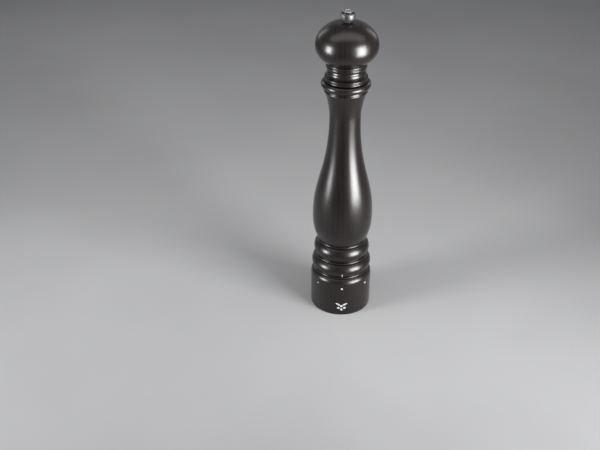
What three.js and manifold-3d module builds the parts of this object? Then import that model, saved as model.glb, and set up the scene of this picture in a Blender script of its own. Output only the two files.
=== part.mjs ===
// Tall turned-wood pepper mill with a grind selector ring at its base.
// Millimetres, +Z up. The origin is the centre of the foot, on the surface the mill stands on.
// The front, with the index mark's side of the mill, faces -Y.
import * as THREE from "three";
import { mergeVertices } from "three/addons/utils/BufferGeometryUtils.js";
import Module from "manifold-3d";

const wasm = await Module();
wasm.setup();

// ---- Clearances ----
const touch = 0.3; // between pieces that rest on or are pressed into each other
const running = 0.4; // radial, between pieces that turn or slide in each other
const seam = 0.5; // axial, between the turned wooden pieces

// ---- Resolution ----
const round = 32; // segments round a large turned piece
const small = 16; // segments round a small turned piece
const tiny = 12; // segments round a screw
const curveSteps = 4; // steps along one curved stretch of an outline

// ---- Selector ring, the wooden ring that the mill stands on ----
const ringRadius = 39.3;
const ringHeight = 54.2;
const ringWall = 6.1;
const ringShoulder = 8; // radius of the round on its upper outside edge
const ringRim = 1.2; // flat left inside that round, round the bore
const footChamfer = 0.8;
const outletDepth = 8.5; // free height under the grinding works
const threadRingHeight = 11.2;
const threadRingStep = 1; // how far the thread ring's seat is wider than the ring's bore
const threadRingWall = 4.5;

// ---- Body outline ----
const lowerBeadHeight = 21;
const upperBeadHeight = 22.3;
const waistHeight = 5;
const bellyRise = 32.9; // from the waist to the widest place of the belly
const neckRise = 135.6; // from there to the narrowest place of the neck
const collarRise = 31.5; // from there to the listel under the mouth ring
const mouthRise = 13.5; // from there to the top of the body
const lowerBeadInset = 1.2; // how far each round lies inside the selector ring's outside
const upperBeadInset = 3.7;
const waistInset = 8;
const bellyRadius = 37.9;
const bellyPull = 47; // lengths of the curve's handles at the belly and at the neck
const neckPull = 72.5;
const flarePull = 8.5;
const listelHeight = 2;
const grooveDepth = 0.8;
const beadGap = 1.2; // from a listel up to the bead over it
const beadSeat = 0.5; // from a bead up to the listel over it
const beadFoot = 3; // how far a bead draws in at its foot and at its shoulder
const beadShoulder = 7.2;
const beadLead = 0.25; // share of a bead's height in the handles of its curve
const lowerListelInset = 2.5; // how far each listel lies inside the bead over it
const upperListelInset = 0.8;
const waistListelReach = 0.5; // how far the last listel stands out past the waist

// ---- Chamber and works in the body ----
const chamberRadius = 14;
const neckWall = 4.95;
const collarFlare = 6.25; // how far the top of the neck flares out from its narrowest place
const spigotLength = 33.2; // how far the body reaches down into the selector ring
const spigotWall = 6.6;
const wellTopWall = 5; // wood left beside the wide foot of the chamber
const funnelHeight = 19;
const clipHeight = 2.2;
const clipBite = 1.4; // how deep the retaining clip sits in the spigot
const clipDrop = 14; // from the seam down to the clip
const keyWidth = 5;
const keyDepth = 2;
const keyLength = 12;

// ---- Grinding works ----
const shaftSide = 6;
const threadRadius = 2.4;
const carrierWall = 5.4;
const carrierFlange = 7;
const carrierSleeve = 21.2;
const carrierDown = 0.9; // lowest and highest setting of the burr carrier, from its middle one
const carrierUp = 0.6;
const armWidth = 5;
const armHeight = 4;
const hubRadius = 6;
const tailRadius = 3;
const femaleHeight = 14;
const femaleWall = 4.7; // from its outside to its teeth at the lower rim
const grindGap = 1; // between the two sets of teeth at the lower rim, at the middle setting
const grindSlope = 0.4; // how much the teeth widen for each millimetre down
const toothDepth = 0.7;
const teeth = 20;
const maleCone = 5; // height of the fine teeth
const maleFeed = 11; // height of the coarse feeding flights
const maleFoot = 3;
const maleHubWall = 3;
const plateThickness = 3;
const plateRim = 4.5;
const plateHub = 2.6;
const bushWall = 2;
const bushFlange = 2;
const bushLength = 6;
const clipThickness = 0.8;
const springWire = 0.6;
const springTurns = 5;

// ---- Mouth, head and knob ----
const mouthCollarWall = 2.5;
const mouthCollarHeight = 14;
const mouthCollarStep = 1.4;
const plateHubReach = 9.2; // how far the drive plate's hub reaches down into the mouth
const plateHubWall = 2;
const plateFlange = 2.4;
const plateRecess = 6.8;
const screwBand = 5.6; // width of the drive plate's flange outside its hub
const headFootWall = 3.2;
const mouthRingReach = 5.5; // how far the mouth ring stands out past the head's foot
const mouthRingRise = 4.6; // from the top of the neck up to the mouth ring
const mouthRingFoot = 4.5; // how far it draws in at its foot and at its shoulder
const mouthRingShoulder = 2.6;
const mouthLip = 0.6; // how far the top of the body stands out past the head's foot
const collarListelReach = 1; // how far the listel under the mouth ring stands out
const headNeckHeight = 23.1;
const headLowListels = [0.3, 3.5]; // heights over the head's foot
const headHighListels = [16.8, 20.1];
const headLowReach = 1.4; // how far these listels stand out past the head's foot
const headHighReach = 0;
const headBeadFoot = 6.4; // heights of the bead between them
const headBeadTop = 12.6;
const headBeadReach = -1;
const headBeadDraw = 1; // how far it draws in at its foot and at its shoulder
const headWaistReach = -2.4; // the narrow place between the bead and the upper listels
const headWaistRise = 14.4;
const ballRadius = 37.1;
const ballDrop = 25.4; // half heights of the ball below and above its widest place
const ballRise = 29.3;
const crownBlend = 18; // radius inside which the ball flattens into the crown
const crownLift = 1.7; // from there up to the crown
const crownRadius = 8; // flat that the knob's washer lies on
const crownWood = 10; // wood over the end of the shaft's square
const washerThickness = 1;
const knobHeight = 11.7;
const knobNeck = 4.6;
const knobRadius = 8.6;
const knobRim = 6.5; // from the knob's foot up to its widest place
const capRadius = 6.1;
const capThickness = 3;
const capEdge = 0.9; // height of the cap's upright edge
const capFlat = 4.4; // radius of the cap's flat top
const knobThread = 6.2;

// ---- Screws ----
const screwRadius = 1.2;
const screwHead = 2.3;
const screwHeadHeight = 1.7;
const screwLength = 10;
const slotWidth = 0.8;
const screws = 3;

// ---- Radii that follow ----
const ringBore = ringRadius - ringWall;
const spigotRadius = ringBore - running - 0.2;
const wellRadius = spigotRadius - spigotWall;
const neckRadius = chamberRadius + neckWall;
const collarRadius = neckRadius + collarFlare;
const mouthCollarBore = chamberRadius + mouthCollarStep;
const mouthRadius = mouthCollarBore + mouthCollarWall + touch;
const plateHubRadius = mouthCollarBore - running;
const plateFlangeRadius = plateHubRadius + screwBand;
const headBore = plateFlangeRadius + running;
const headFootRadius = headBore + headFootWall;
const mouthRingRadius = headFootRadius + mouthRingReach;
const shaftCorner = (shaftSide / 2) * Math.SQRT2;
const squareHole = shaftSide + 2 * touch;
const bushRadius = shaftCorner + touch + bushWall;
const plateScrewPlace = wellRadius - touch - plateRim / 2 - 0.1;
const headScrewPlace = plateHubRadius + screwBand / 2;
const threadSeat = ringBore + threadRingStep;
const threadRingRadius = threadSeat - touch;
const threadRingBore = threadRingRadius - threadRingWall;
const carrierRadius = wellRadius - running;
const femaleSeat = carrierRadius - carrierWall;
const femaleRadius = femaleSeat - touch;
const femaleMouth = femaleRadius - femaleWall;
const maleRadius = femaleMouth - grindGap;

// ---- Heights that follow ----
const seamBottom = ringHeight + seam;
const spigotEnd = seamBottom - spigotLength;
const lowerBeadTop = seamBottom + lowerBeadHeight;
const upperBeadTop = lowerBeadTop + upperBeadHeight;
const waist = upperBeadTop + waistHeight;
const belly = waist + bellyRise;
const neck = belly + neckRise;
const collar = neck + collarRise;
const bodyTop = collar + mouthRise;
const headFoot = bodyTop + seam;
const ballFoot = headFoot + headNeckHeight;
const ballCentre = ballFoot + ballDrop * Math.sqrt(1 - (headFootRadius / ballRadius) ** 2);
const blendFoot = ballCentre + ballRise * Math.sqrt(1 - (crownBlend / ballRadius) ** 2);
const crown = blendFoot + crownLift;
const washerFoot = crown + touch;
const knobFoot = washerFoot + washerThickness + touch;
const knobTop = knobFoot + knobHeight;

// ---- Places of the works ----
const threadRingFoot = outletDepth;
const threadSeatTop = threadRingFoot + threadRingHeight + touch;
const carrierFoot = threadRingFoot + carrierDown + touch + 0.1;
const femaleFoot = carrierFoot + carrierFlange + armHeight;
const maleBottom = femaleFoot - maleFoot;
const maleTop = femaleFoot + maleCone + maleFeed;
const wellTop = seamBottom + 1.6;
const plateTop = wellTop - touch;
const plateBottom = plateTop - plateThickness;
const bushBottom = plateBottom - running - bushFlange;
const clipTop = bushBottom - touch;
const grinderClipTop = maleBottom - touch;
const clipZ = seamBottom - clipDrop;

// ---- Solids ----

// A closed three.js geometry as a manifold-3d solid, without the faces of no area that a lathe leaves
// on its axis.
function solid(geometry) {
  const bare = geometry.index ? geometry.toNonIndexed() : geometry.clone();
  bare.deleteAttribute("normal");
  bare.deleteAttribute("uv");
  const merged = mergeVertices(bare, 1e-4);
  const faces = [];
  const index = merged.index.array;
  for (let i = 0; i < index.length; i += 3) {
    const [a, b, c] = index.slice(i, i + 3);
    if (a !== b && b !== c && c !== a) faces.push(a, b, c);
  }
  return new wasm.Manifold(
    new wasm.Mesh({
      numProp: 3,
      vertProperties: merged.attributes.position.array,
      triVerts: new Uint32Array(faces),
    }),
  );
}

function join(first, ...rest) {
  return rest.reduce((sum, next) => sum.add(solid(next)), solid(first));
}

function cut(from, ...tools) {
  return tools.reduce((left, tool) => left.subtract(solid(tool)), from);
}

function geometryOf(made) {
  const mesh = made.getMesh();
  const geometry = new THREE.BufferGeometry();
  geometry.setAttribute("position", new THREE.BufferAttribute(mesh.vertProperties, 3));
  geometry.setIndex(new THREE.BufferAttribute(mesh.triVerts, 1));
  const faceted = geometry.toNonIndexed();
  faceted.computeVertexNormals();
  return faceted;
}

// ---- Shapes ----

// A piece turned about +Z. The outline is a path or a list of [radius, height], and goes up the
// outside and down the inside.
function turned(outline, segments = round) {
  const points = Array.isArray(outline)
    ? outline.map(([r, z]) => new THREE.Vector2(r, z))
    : outline.getPoints(curveSteps);
  const first = points[0];
  const closed = first.x > 0 ? [...points, first.clone()] : points;
  return new THREE.LatheGeometry(closed, segments).rotateX(Math.PI / 2);
}

function tube(inner, outer, bottom, top, segments = round) {
  return turned([[outer, bottom], [outer, top], [inner, top], [inner, bottom]], segments);
}

function rod(radius, bottom, top, segments = small) {
  return turned([[0, bottom], [radius, bottom], [radius, top], [0, top]], segments);
}

function box(x, y, bottom, top) {
  return new THREE.BoxGeometry(x, y, top - bottom).translate(0, 0, (bottom + top) / 2);
}

// Copies of a geometry, spread evenly about +Z.
function around(count, make) {
  return Array.from({ length: count }, (_, i) => make().rotateZ((i * 2 * Math.PI) / count));
}

// A hub and a rim joined by straight arms, as one solid.
function spider(hole, hub, rimInside, outside, bottom, thickness) {
  const top = bottom + thickness;
  const bite = 0.5;
  const arm = () => box(rimInside - hub + 2 * bite, armWidth, bottom, top)
    .translate((rimInside + hub) / 2, 0, 0);
  return join(
    tube(hole, hub, bottom, top, small),
    tube(rimInside, outside, bottom, top),
    ...around(screws, arm),
  );
}

// An open ring that springs into a groove, with its gap towards +X.
function openRing(inner, outer, gap, bottom, thickness, segments) {
  const half = gap / 2;
  const shape = new THREE.Shape();
  shape.absarc(0, 0, outer, half / outer, 2 * Math.PI - half / outer, false);
  shape.absarc(0, 0, inner, 2 * Math.PI - half / inner, half / inner, true);
  const options = { depth: thickness, bevelEnabled: false, curveSegments: segments / 2 };
  return new THREE.ExtrudeGeometry(shape, options).translate(0, 0, bottom);
}

class Helix extends THREE.Curve {
  constructor(radius, bottom, top, turns) {
    super();
    Object.assign(this, { radius, bottom, top, turns });
  }

  getPoint(t, target = new THREE.Vector3()) {
    const angle = t * this.turns * 2 * Math.PI;
    const height = this.bottom + t * (this.top - this.bottom);
    return target.set(this.radius * Math.cos(angle), this.radius * Math.sin(angle), height);
  }
}

// A cone with twisted teeth on its outside. Each level is a height, a crest radius, a tooth depth and
// a twist in radians.
function toothedCone(levels, count) {
  const across = 3;
  const places = count * across;
  const position = [];
  levels.forEach(([z, crest, depth, twist]) => {
    for (let i = 0; i < places; i += 1) {
      const angle = (i * 2 * Math.PI) / places + twist;
      const radius = i % across === 0 ? crest : crest - depth;
      position.push(radius * Math.cos(angle), radius * Math.sin(angle), z);
    }
  });
  const index = [];
  for (let level = 0; level < levels.length - 1; level += 1) {
    for (let i = 0; i < places; i += 1) {
      const [a, b] = [level * places + i, level * places + ((i + 1) % places)];
      index.push(a, b, b + places, a, b + places, a + places);
    }
  }
  const [foot, tip] = [levels.length * places, levels.length * places + 1];
  const top = (levels.length - 1) * places;
  position.push(0, 0, levels[0][0], 0, 0, levels.at(-1)[0]);
  for (let i = 0; i < places; i += 1) {
    const next = (i + 1) % places;
    index.push(foot, next, i, tip, top + i, top + next);
  }
  const geometry = new THREE.BufferGeometry();
  geometry.setAttribute("position", new THREE.Float32BufferAttribute(position, 3));
  return geometry.setIndex(index);
}

// ---- Outline pieces ----

// A round bead between two heights, drawn in by the given amounts at its foot and its shoulder.
function bead(path, bottom, top, widest, foot, shoulder) {
  const handle = widest + (foot + shoulder) / 6;
  const lead = (top - bottom) * beadLead;
  path.lineTo(widest - foot, bottom);
  path.bezierCurveTo(handle, bottom + lead, handle, top - lead, widest - shoulder, top);
}

// A narrow flat band, with a groove above it.
function listel(path, bottom, radius) {
  path.lineTo(radius, bottom);
  path.lineTo(radius, bottom + listelHeight);
  path.lineTo(radius - grooveDepth, bottom + listelHeight);
}

// A clearance hole for a screw, off the axis.
function screwHole(place, bottom, top) {
  return rod(screwRadius + touch, bottom, top, tiny).translate(place, 0, 0);
}

// ---- Selector ring group ----

function selectorRing() {
  const grooveOut = spigotRadius + clipBite + running;
  const shoulderPlace = ringRadius - ringShoulder;
  const shoulderTurn = Math.acos((ringBore + ringRim - shoulderPlace) / ringShoulder);
  const shoulderDrop = ringShoulder * Math.sin(shoulderTurn);
  const path = new THREE.Path();
  path.moveTo(ringRadius - footChamfer, 0);
  path.lineTo(ringRadius, footChamfer);
  path.absarc(shoulderPlace, ringHeight - shoulderDrop, ringShoulder, 0, shoulderTurn, false);
  path.lineTo(ringBore, ringHeight);
  path.lineTo(ringBore, clipZ + clipHeight + seam);
  path.lineTo(grooveOut, clipZ + clipHeight + seam);
  path.lineTo(grooveOut, clipZ - seam);
  path.lineTo(ringBore, clipZ - seam);
  path.lineTo(ringBore, threadSeatTop);
  path.lineTo(threadSeat, threadSeatTop);
  path.lineTo(threadSeat, footChamfer);
  path.lineTo(threadSeat + footChamfer, 0);
  return turned(path);
}

function threadRing() {
  return tube(threadRingBore, threadRingRadius, threadRingFoot, threadRingFoot + threadRingHeight);
}

// ---- Body group ----

function bodyOutline() {
  const lowerBead = ringRadius - lowerBeadInset;
  const upperBead = ringRadius - upperBeadInset;
  const waistRadius = ringRadius - waistInset;
  const clipGroove = spigotRadius - clipBite - touch;
  const overListel = listelHeight + beadGap;
  const path = new THREE.Path();
  path.moveTo(spigotRadius, spigotEnd);
  path.lineTo(spigotRadius, clipZ - touch);
  path.lineTo(clipGroove, clipZ - touch);
  path.lineTo(clipGroove, clipZ + clipHeight + touch);
  path.lineTo(spigotRadius, clipZ + clipHeight + touch);
  path.lineTo(spigotRadius, seamBottom);
  listel(path, seamBottom, lowerBead - lowerListelInset);
  bead(path, seamBottom + overListel, lowerBeadTop - beadSeat, lowerBead, beadFoot, beadShoulder);
  listel(path, lowerBeadTop + beadSeat, upperBead - upperListelInset);
  bead(path, lowerBeadTop + overListel, upperBeadTop - beadSeat, upperBead, beadFoot, beadShoulder);
  listel(path, upperBeadTop + beadSeat, waistRadius + waistListelReach);
  path.lineTo(waistRadius, waist - waistHeight * 0.3);
  path.bezierCurveTo(
    ...[waistRadius + (bellyRadius - waistRadius) * 0.8, waist + bellyRise * 0.3],
    ...[bellyRadius, belly - bellyRise * 0.45],
    ...[bellyRadius, belly],
  );
  path.bezierCurveTo(bellyRadius, belly + bellyPull, neckRadius, neck - neckPull, neckRadius, neck);
  path.bezierCurveTo(
    ...[neckRadius, neck + flarePull],
    ...[neckRadius + collarFlare * 0.5, collar - flarePull],
    ...[collarRadius, collar],
  );
  listel(path, collar + touch, collarRadius + collarListelReach);
  bead(path, collar + mouthRingRise, bodyTop - 0.1, mouthRingRadius, mouthRingFoot, mouthRingShoulder);
  path.lineTo(headFootRadius + mouthLip, bodyTop);
  return path;
}

function millBody() {
  const path = bodyOutline();
  const mouthFloor = bodyTop - mouthCollarHeight - 2 * touch;
  path.lineTo(mouthRadius, bodyTop);
  path.lineTo(mouthRadius, mouthFloor);
  path.lineTo(chamberRadius, mouthFloor);
  path.lineTo(chamberRadius, wellTop + funnelHeight);
  path.lineTo(wellRadius - wellTopWall, wellTop);
  path.lineTo(wellRadius, wellTop);
  path.lineTo(wellRadius, spigotEnd);
  const grooveOut = wellRadius + keyDepth + running;
  const grooveTop = carrierFoot + carrierFlange + carrierSleeve + carrierUp + seam;
  const grooveCut = keyDepth + 4;
  const keyGroove = () => box(grooveCut, keyWidth + 2 * running, spigotEnd - 1, grooveTop)
    .translate(grooveOut - grooveCut / 2, 0, 0);
  const pilot = () => screwHole(plateScrewPlace, wellTop - 1, wellTop + screwLength);
  return geometryOf(cut(solid(turned(path)), ...around(screws, keyGroove), ...around(screws, pilot)));
}

function mouthCollar() {
  const bottom = bodyTop - touch - mouthCollarHeight;
  return tube(mouthCollarBore, mouthRadius - touch, bottom, bodyTop - touch);
}

function retainingClip() {
  return openRing(spigotRadius - clipBite, spigotRadius + clipBite - 0.2, 9, clipZ, clipHeight, round);
}

function bearingPlate() {
  const bore = bushRadius + running;
  const hub = bore + plateHub;
  const outside = wellRadius - touch;
  const flat = spider(bore, hub, outside - plateRim, outside, plateBottom, plateThickness);
  const hole = () => screwHole(plateScrewPlace, plateBottom - 1, plateTop + 1);
  return geometryOf(cut(flat, ...around(screws, hole)));
}

// ---- Burr carrier group ----

function burrCarrier() {
  const flangeRadius = threadRingBore - running;
  const rim = femaleMouth + 1;
  const flangeTop = carrierFoot + carrierFlange;
  const sleeveTop = flangeTop + carrierSleeve;
  const shell = turned([
    [flangeRadius, carrierFoot],
    [flangeRadius, flangeTop],
    [carrierRadius, flangeTop],
    [carrierRadius, sleeveTop],
    [femaleSeat, sleeveTop],
    [femaleSeat, femaleFoot],
    [rim, femaleFoot],
    [rim, carrierFoot],
  ]);
  const arms = spider(tailRadius + running, hubRadius, rim - 0.5, rim + 1, carrierFoot, armHeight);
  const key = () => box(keyDepth + 1, keyWidth, sleeveTop - keyLength, sleeveTop)
    .translate(carrierRadius + keyDepth / 2 - 0.5, 0, 0);
  return geometryOf(join(shell, ...around(screws, key)).add(arms));
}

function femaleGrinder() {
  const top = femaleFoot + femaleHeight;
  const lip = femaleFoot + maleCone;
  const throat = femaleMouth - maleCone * grindSlope;
  const bottom = femaleFoot + touch;
  const bore = toothedCone([
    [bottom - 1, femaleMouth + toothDepth + grindSlope, toothDepth, -0.06],
    [lip, throat + toothDepth, toothDepth, 0.1],
    [top + 1, femaleRadius - 1.6, toothDepth, 0.45],
  ], teeth);
  return geometryOf(cut(solid(rod(femaleRadius, bottom, top, round)), bore));
}

// ---- Spindle group ----

function driveShaft() {
  const squareBottom = grinderClipTop - clipThickness - 1;
  const shoulder = crown - crownWood;
  const threadTop = knobFoot + knobThread - 0.6;
  const neckOf = shaftSide / 2 - 0.1;
  const groove = (top) => tube(neckOf, shaftSide, top - clipThickness - touch, top + touch, small);
  const whole = join(
    box(shaftSide, shaftSide, squareBottom, shoulder),
    rod(tailRadius, carrierFoot - 1, squareBottom + 1),
    rod(threadRadius, shoulder - 1, threadTop),
  );
  return geometryOf(cut(whole, groove(clipTop), groove(grinderClipTop)));
}

function maleGrinder() {
  const top = shaftCorner + maleHubWall;
  const throat = maleRadius - maleCone * grindSlope;
  const cone = toothedCone([
    [maleBottom, maleRadius - 1.2, toothDepth, -0.05],
    [maleBottom + 1, maleRadius, toothDepth, 0],
    [femaleFoot, maleRadius, toothDepth, 0.12],
    [femaleFoot + maleCone, throat, toothDepth + 0.2, 0.32],
    [femaleFoot + maleCone + maleFeed * 0.5, (throat + top) / 2, 1.6, 0.62],
    [maleTop, top, 1, 0.95],
  ], teeth);
  return geometryOf(cut(solid(cone), box(squareHole, squareHole, maleBottom - 1, maleTop + 1)));
}

function bearingBush() {
  const flange = bushRadius + 2;
  const barrelTop = bushBottom + bushFlange + bushLength;
  const outside = turned([
    [0, bushBottom],
    [flange, bushBottom],
    [flange, bushBottom + bushFlange],
    [bushRadius, bushBottom + bushFlange],
    [bushRadius, barrelTop],
    [0, barrelTop],
  ], small);
  return geometryOf(cut(solid(outside), box(squareHole, squareHole, bushBottom - 1, barrelTop + 1)));
}

function shaftClip(top) {
  return openRing(shaftSide / 2 + 0.2, bushRadius + 1.4, 5, top - clipThickness, clipThickness, small);
}

function grinderSpring() {
  const coil = new Helix(shaftCorner + springWire + 0.8, maleTop + touch + springWire,
    clipTop - clipThickness - touch - springWire, springTurns);
  const wire = new THREE.Shape().absarc(0, 0, springWire, 0, 2 * Math.PI, false);
  return new THREE.ExtrudeGeometry(wire, {
    steps: springTurns * 10,
    extrudePath: coil,
    bevelEnabled: false,
    curveSegments: 3,
  });
}

// ---- Head group ----

function millHead() {
  const foot = headFootRadius;
  const start = -Math.asin((ballCentre - ballFoot) / ballDrop);
  const end = Math.acos(crownBlend / ballRadius);
  const path = new THREE.Path();
  path.moveTo(foot, headFoot);
  for (const rise of headLowListels) listel(path, headFoot + rise, foot + headLowReach);
  const [beadBottom, beadTop] = [headFoot + headBeadFoot, headFoot + headBeadTop];
  bead(path, beadBottom, beadTop, foot + headBeadReach, headBeadDraw, headBeadDraw);
  path.lineTo(foot + headWaistReach, headFoot + headWaistRise);
  for (const rise of headHighListels) listel(path, headFoot + rise, foot + headHighReach);
  path.absellipse(0, ballCentre, ballRadius, ballDrop, start, 0, false, 0);
  path.absellipse(0, ballCentre, ballRadius, ballRise, 0, end, false, 0);
  const across = crownBlend - crownRadius;
  path.bezierCurveTo(
    ...[crownBlend - across * 0.25, blendFoot + crownLift * 0.65],
    ...[crownRadius + across * 0.4, crown],
    ...[crownRadius, crown],
  );
  path.lineTo(threadRadius + 0.8, crown);
  path.lineTo(threadRadius + 0.8, crown - crownWood + 2);
  path.lineTo(shaftCorner + 0.6, crown - crownWood + 2);
  path.lineTo(shaftCorner + 0.6, headFoot + plateRecess);
  path.lineTo(headBore, headFoot + plateRecess);
  path.lineTo(headBore, headFoot);
  const top = headFoot + plateRecess + screwLength;
  const pilot = () => screwHole(headScrewPlace, top - screwLength - 1, top);
  return geometryOf(cut(solid(turned(path)), ...around(screws, pilot)));
}

function drivePlate() {
  const bottom = headFoot - plateHubReach;
  const top = headFoot + plateRecess - touch;
  const flangeBottom = top - plateFlange;
  const cup = turned([
    [0, bottom],
    [plateHubRadius, bottom],
    [plateHubRadius, flangeBottom],
    [plateFlangeRadius, flangeBottom],
    [plateFlangeRadius, top],
    [plateHubRadius - plateHubWall, top],
    [plateHubRadius - plateHubWall, bottom + plateFlange],
    [0, bottom + plateFlange],
  ]);
  const hole = () => screwHole(headScrewPlace, flangeBottom - 1, top + 1);
  const square = box(squareHole, squareHole, bottom - 1, bottom + plateFlange + 1);
  return geometryOf(cut(solid(cup), square, ...around(screws, hole)));
}

// ---- Knob group ----

function knobWasher() {
  return tube(threadRadius + 0.6, knobNeck - 0.4, washerFoot, washerFoot + washerThickness, small);
}

function knob() {
  const rim = knobFoot + knobRim;
  const recess = knobTop - capThickness;
  const lip = capRadius + touch;
  const lipTop = recess + capEdge;
  const bore = threadRadius + touch + 0.1;
  const path = new THREE.Path();
  path.moveTo(0, knobFoot + knobThread);
  path.lineTo(bore, knobFoot + knobThread);
  path.lineTo(bore, knobFoot);
  path.lineTo(knobNeck, knobFoot);
  path.bezierCurveTo(knobRadius - 0.6, knobFoot + 0.5, knobRadius, rim - 3, knobRadius, rim);
  path.bezierCurveTo(knobRadius, rim + 1.6, lip + 1.4, lipTop - 0.2, lip + 0.6, lipTop);
  path.lineTo(lip, lipTop);
  path.lineTo(lip, recess - touch);
  path.lineTo(0, recess - touch);
  return turned(path, small);
}

function knobCap() {
  const bottom = knobTop - capThickness;
  const path = new THREE.Path();
  path.moveTo(0, bottom);
  path.lineTo(capRadius, bottom);
  path.lineTo(capRadius, bottom + capEdge);
  path.quadraticCurveTo(capRadius, knobTop, capFlat, knobTop);
  path.lineTo(0, knobTop);
  return turned(path, small);
}

// A slotted screw that points up, with its head's underside at the height given.
function screw(seat) {
  const outside = turned([
    [0, seat - screwHeadHeight],
    [screwHead - 0.7, seat - screwHeadHeight],
    [screwHead, seat - 0.6],
    [screwHead, seat],
    [screwRadius, seat],
    [screwRadius, seat + screwLength - 1],
    [0, seat + screwLength + 1],
  ], tiny);
  const slot = box(2 * screwHead + 1, slotWidth, seat - screwHeadHeight - 1, seat - screwHeadHeight + 0.8);
  return geometryOf(cut(solid(outside), slot));
}

// ---- Materials ----

function finish(color, roughness, metalness) {
  return new THREE.MeshStandardMaterial({ color, roughness, metalness });
}

const wood = finish(0x1d1614, 0.32, 0);
const steel = finish(0xb9b9b6, 0.28, 1);
const burrSteel = finish(0x55534f, 0.45, 1);
const nylon = finish(0x17171a, 0.55, 0);
const pale = finish(0xd9d5c8, 0.5, 0);
const springSteel = finish(0x8d8d8c, 0.3, 1);

// ---- Assembly ----

const mill = new THREE.Group();

function add(name, geometry, material) {
  const mesh = new THREE.Mesh(geometry, material);
  mesh.name = name;
  mill.add(mesh);
}

// Screws of one pattern are spread evenly, each its own piece.
function addScrews(name, seat, place) {
  for (let i = 0; i < screws; i += 1) {
    const turn = (i * 2 * Math.PI) / screws;
    add(`${name}_${i + 1}`, screw(seat).translate(place, 0, 0).rotateZ(turn), steel);
  }
}

add("selector_ring", selectorRing(), wood);
add("thread_ring", threadRing(), nylon);

add("mill_body", millBody(), wood);
add("mouth_collar", mouthCollar(), nylon);
add("retaining_clip", retainingClip(), springSteel);
add("bearing_plate", bearingPlate(), steel);
addScrews("bearing_plate_screw", plateBottom - touch, plateScrewPlace);

add("burr_carrier", burrCarrier(), nylon);
add("female_grinder", femaleGrinder(), burrSteel);

add("drive_shaft", driveShaft(), steel);
add("male_grinder", maleGrinder(), burrSteel);
add("bearing_bush", bearingBush(), pale);
add("shaft_clip", shaftClip(clipTop), springSteel);
add("grinder_spring", grinderSpring(), springSteel);
add("grinder_clip", shaftClip(grinderClipTop), springSteel);

add("mill_head", millHead(), wood);
add("drive_plate", drivePlate(), steel);
addScrews("drive_plate_screw", headFoot + plateRecess - touch - plateFlange - touch, headScrewPlace);

add("knob_washer", knobWasher(), nylon);
add("knob", knob(), steel);
add("knob_cap", knobCap(), steel);

export default mill;
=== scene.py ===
import math

import bmesh
import bpy
from mathutils import Matrix, Vector


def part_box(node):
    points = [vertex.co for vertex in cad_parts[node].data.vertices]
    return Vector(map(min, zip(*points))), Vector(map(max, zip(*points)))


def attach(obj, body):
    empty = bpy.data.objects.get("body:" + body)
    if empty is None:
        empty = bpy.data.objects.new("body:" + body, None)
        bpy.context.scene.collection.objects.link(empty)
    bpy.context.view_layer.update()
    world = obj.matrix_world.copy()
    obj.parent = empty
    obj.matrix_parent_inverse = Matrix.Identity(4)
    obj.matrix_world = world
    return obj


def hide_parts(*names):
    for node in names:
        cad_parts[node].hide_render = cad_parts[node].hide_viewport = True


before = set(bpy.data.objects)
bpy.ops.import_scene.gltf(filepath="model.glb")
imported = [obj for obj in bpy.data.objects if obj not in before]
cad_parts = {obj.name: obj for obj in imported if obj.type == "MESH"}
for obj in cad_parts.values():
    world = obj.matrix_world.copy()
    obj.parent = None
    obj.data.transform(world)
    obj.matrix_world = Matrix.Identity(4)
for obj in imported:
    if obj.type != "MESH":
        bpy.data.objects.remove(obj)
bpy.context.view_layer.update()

# The looks of a tall turned-wood pepper mill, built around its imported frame. Outlines are in
# millimetres from the centre of the foot, +Z up, and the meshes made from them are in metres.

MM = 0.001
ROUND = 144  # segments round a large turned piece
SMALL = 72  # segments round a small turned piece
TOUCH = 0.3  # gap between pieces that rest on or in each other
RUNNING = 0.4  # gap between pieces that turn or slide in each other
SHARP = 35  # degrees between faces, over which an edge stays sharp
TINY = 1e-6  # millimetres, less than any real size
THIRDS = [math.radians(a) for a in (0, 120, 240)]
FRONT = math.radians(-90)  # the direction of the index mark


def low(node):
    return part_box(node)[0] / MM


def high(node):
    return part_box(node)[1] / MM


# ---- Sizes read from the frame ----

RING_R = high("selector_ring").x
RING_TOP = high("selector_ring").z
SPIGOT_END = low("mill_body").z
BODY_TOP = high("mill_body").z
BELLY_R = 37.9
HEAD_FOOT = low("mill_head").z
BALL_R = high("mill_head").x
CROWN = high("mill_head").z
SEAM = HEAD_FOOT - BODY_TOP
SEAM_BOTTOM = RING_TOP + SEAM
CARRIER_FOOT = low("burr_carrier").z
CARRIER_TOP = high("burr_carrier").z
PLATE_BOTTOM = low("bearing_plate").z
PLATE_TOP = high("bearing_plate").z
WELL_TOP = PLATE_TOP + TOUCH
WELL_R = high("bearing_plate").x + TOUCH
CLIP_LOW = low("retaining_clip").z
CLIP_HIGH = high("retaining_clip").z
COLLAR_R = high("mouth_collar").x
COLLAR_FOOT = low("mouth_collar").z
MALE_FOOT = low("male_grinder").z
MALE_TOP = high("male_grinder").z
SHAFT_TOP = high("drive_shaft").z
DRIVE_LOW = low("drive_plate").z
DRIVE_HIGH = high("drive_plate").z
DRIVE_R = high("drive_plate").x
KNOB_FOOT = low("knob").z
KNOB_R = high("knob").x
CAP_LOW = low("knob_cap").z
CAP_HIGH = high("knob_cap").z
CAP_R = high("knob_cap").x

# ---- Outline sizes, as in the part's source ----

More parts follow.
